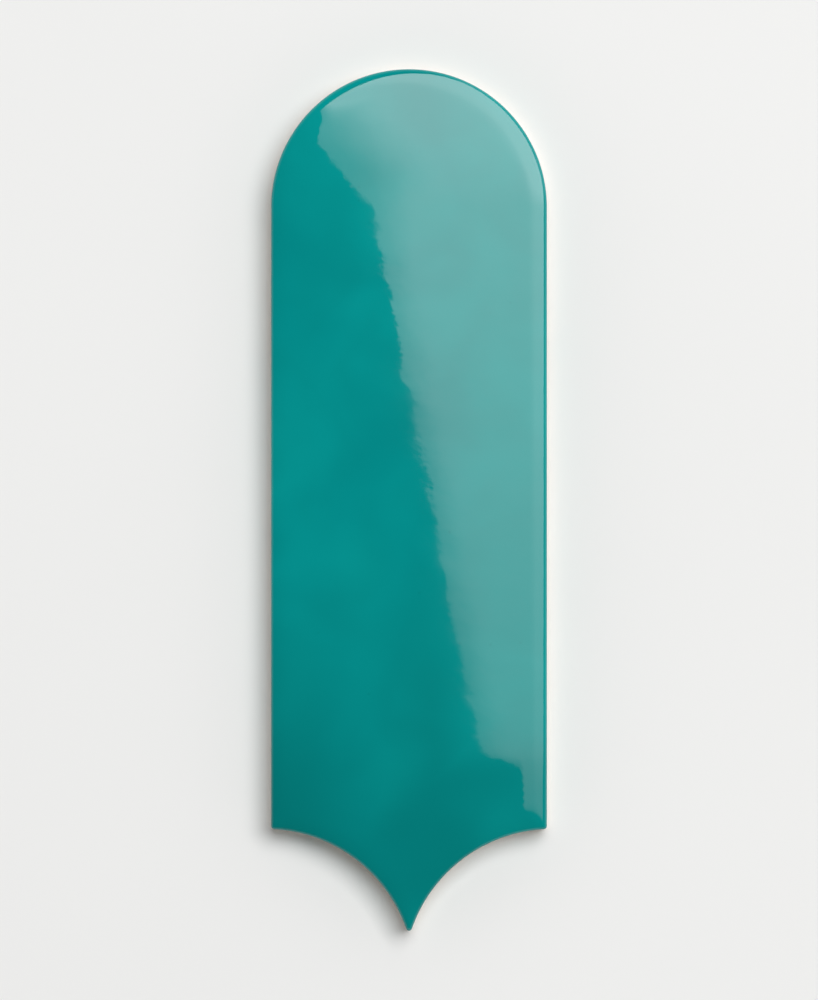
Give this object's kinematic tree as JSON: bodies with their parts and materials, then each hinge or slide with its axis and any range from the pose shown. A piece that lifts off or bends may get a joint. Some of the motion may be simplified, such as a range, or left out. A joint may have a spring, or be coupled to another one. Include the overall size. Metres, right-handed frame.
{
  "type": "fish scale tile",
  "caption": "Long wall tile with a round head, straight sides and a scalloped, pointed foot that nests between the heads of the next course; teal gloss glaze, keyed back.",
  "frame": {"origin": "on the back plane, under the middle of the tile's length and width", "axes": "+Y to the crown of the round head, +Z out of the glazed face, +X to the right as the face is seen"},
  "size_m": [0.065, 0.203, 0.009],
  "materials": {
    "glaze": "gloss"
  },
  "bodies": {
    "root": {"tile": "glaze"}
  },
  "joints": []
}
